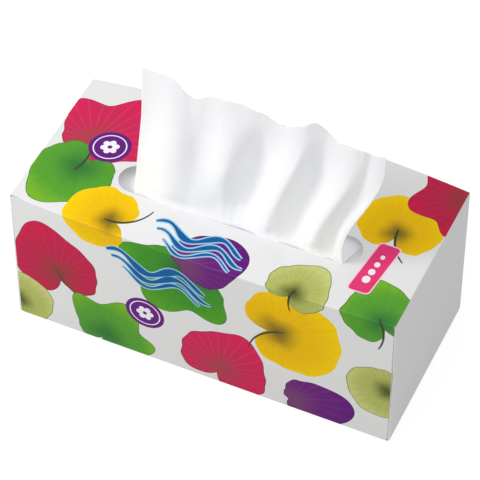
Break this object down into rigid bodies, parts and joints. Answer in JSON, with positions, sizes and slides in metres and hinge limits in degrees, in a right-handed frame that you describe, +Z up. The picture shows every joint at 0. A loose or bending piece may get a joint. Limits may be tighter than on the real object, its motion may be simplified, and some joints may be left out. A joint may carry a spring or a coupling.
{
  "type": "tissue box",
  "caption": "Rectangular paperboard tissue box with a long rounded slot in its top, filled with folded facial tissues, one of them standing half pulled out.",
  "frame": {"origin": "middle of the underside, on the surface that the box stands on", "axes": "+X along the box to the right, -Y to the front, +Z up"},
  "size_m": [0.216, 0.1084, 0.174],
  "materials": {
    "board": "satin",
    "tissue": "matte"
  },
  "bodies": {
    "root": {"carton": "board", "tissue_stack": "tissue", "pulled_tissue": "tissue"}
  },
  "joints": []
}
